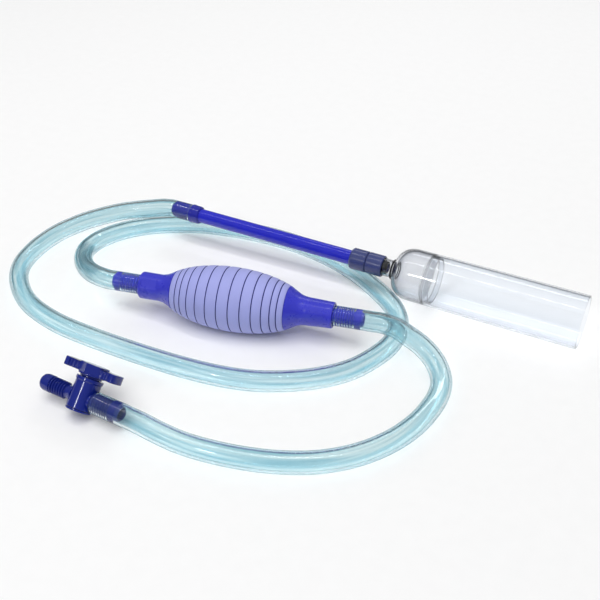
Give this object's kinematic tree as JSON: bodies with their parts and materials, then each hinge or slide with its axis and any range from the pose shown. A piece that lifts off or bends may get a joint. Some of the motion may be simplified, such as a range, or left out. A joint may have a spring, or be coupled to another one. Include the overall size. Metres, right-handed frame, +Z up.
{
  "type": "gravel vacuum siphon",
  "caption": "Aquarium gravel siphon: clear gravel tube on a wand, intake hose, squeeze bulb with check valves, drain hose and a turn valve.",
  "frame": {"origin": "on the floor, under the middle of the bounding box of everything except the two hoses", "axes": "+X along the wand from the hose end towards the mouth of the gravel tube, +Y from the valve towards the wand, +Z up from the floor that the siphon lies on"},
  "size_m": [0.4769, 0.2866, 0.052],
  "materials": {
    "clear_acrylic": "clear, polished",
    "frosted_plastic": "frosted, translucent",
    "black_rubber": "matte",
    "slate_plastic": "satin",
    "royal_blue_plastic": "gloss",
    "clear_aqua_hose": "clear tinted, glossy, flexible",
    "bulb_blue_plastic": "satin",
    "lavender_rubber": "soft matte",
    "white_valve_plastic": "matte",
    "valve_blue_plastic": "satin"
  },
  "bodies": {
    "siphon": {"dome_cap": "clear_acrylic", "gravel_strainer": "frosted_plastic", "neck_seal_ring": "black_rubber", "union_socket": "slate_plastic", "union_seal": "black_rubber", "extension_tube": "royal_blue_plastic", "hose_adapter": "royal_blue_plastic", "intake_hose": "clear_aqua_hose", "bulb_shell": "bulb_blue_plastic", "bulb_sleeve": "lavender_rubber", "inlet_connector": "bulb_blue_plastic", "inlet_valve_cage": "white_valve_plastic", "outlet_connector": "bulb_blue_plastic", "outlet_valve_seat": "white_valve_plastic", "drain_hose": "clear_aqua_hose", "valve_body": "valve_blue_plastic", "valve_stem_o_ring": "black_rubber", "valve_bonnet": "valve_blue_plastic", "valve_base_cap": "valve_blue_plastic"},
    "gravel_tube": {"gravel_tube": "clear_acrylic"},
    "union_nut": {"union_nut": "slate_plastic"},
    "inlet_disc": {"inlet_check_disc": "white_valve_plastic"},
    "outlet_disc": {"outlet_check_disc": "white_valve_plastic"},
    "valve_spindle": {"valve_plug": "valve_blue_plastic", "valve_knob": "valve_blue_plastic"}
  },
  "joints": [
    {"name": "valve_turn", "type": "hinge", "parent": "siphon", "child": "valve_spindle", "pos_m": [-0.11402, -0.11098, 0.02685], "axis": [0.0545, 0.6925, 0.7193], "range_deg": [0, 90]},
    {"name": "gravel_tube_pull", "type": "slide", "parent": "siphon", "child": "gravel_tube", "axis": [0.9998, 0, -0.0209], "range_m": [0, 0.0045]},
    {"name": "union_nut_turn", "type": "hinge", "parent": "siphon", "child": "union_nut", "pos_m": [0.01233, 0.11515, 0.02556], "axis": [0.9998, 0, -0.0209], "continuous": true},
    {"name": "inlet_disc_lift", "type": "slide", "parent": "siphon", "child": "inlet_disc", "axis": [0.982, 0.1891, 0], "range_m": [0, 0.0022]},
    {"name": "outlet_disc_lift", "type": "slide", "parent": "siphon", "child": "outlet_disc", "axis": [0.982, 0.1891, 0], "range_m": [0, 0.0022]}
  ]
}
